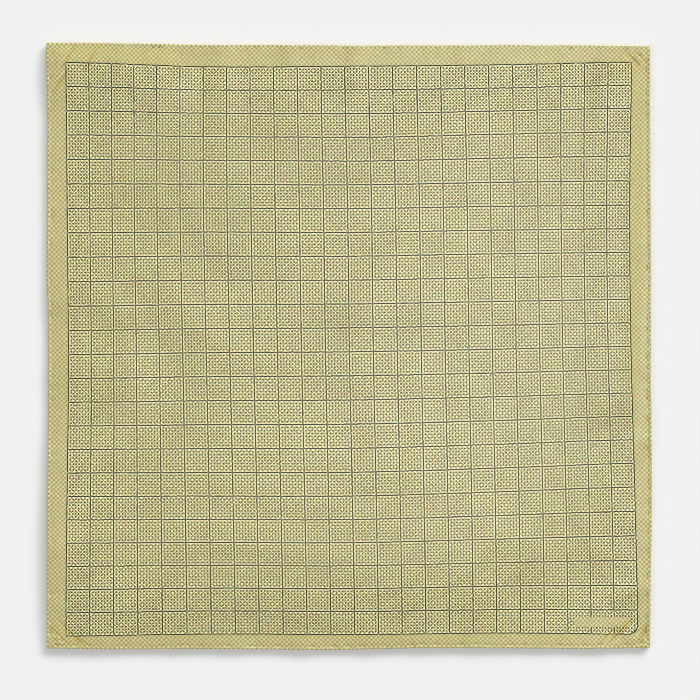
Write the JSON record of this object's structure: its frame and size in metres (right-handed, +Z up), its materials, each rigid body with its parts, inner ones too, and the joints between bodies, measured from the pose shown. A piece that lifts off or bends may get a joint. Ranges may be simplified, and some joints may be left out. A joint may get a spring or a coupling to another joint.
{
  "type": "pocket square",
  "caption": "Open square of printed silk twill with a hand-rolled hem, lying flat with soft ripples along its edges.",
  "frame": {"origin": "middle of the square, on the surface that the cloth lies on", "axes": "+Z up out of the printed face, +X to the right and +Y up the cloth as it is seen from above"},
  "size_m": [0.3308, 0.3314, 0.0036],
  "materials": {
    "printed_silk": "fine silk twill with a soft sheen, cream and olive dotted ground under a dark window grid of small dots"
  },
  "bodies": {
    "root": {"pocket_square": "printed_silk"}
  },
  "joints": []
}
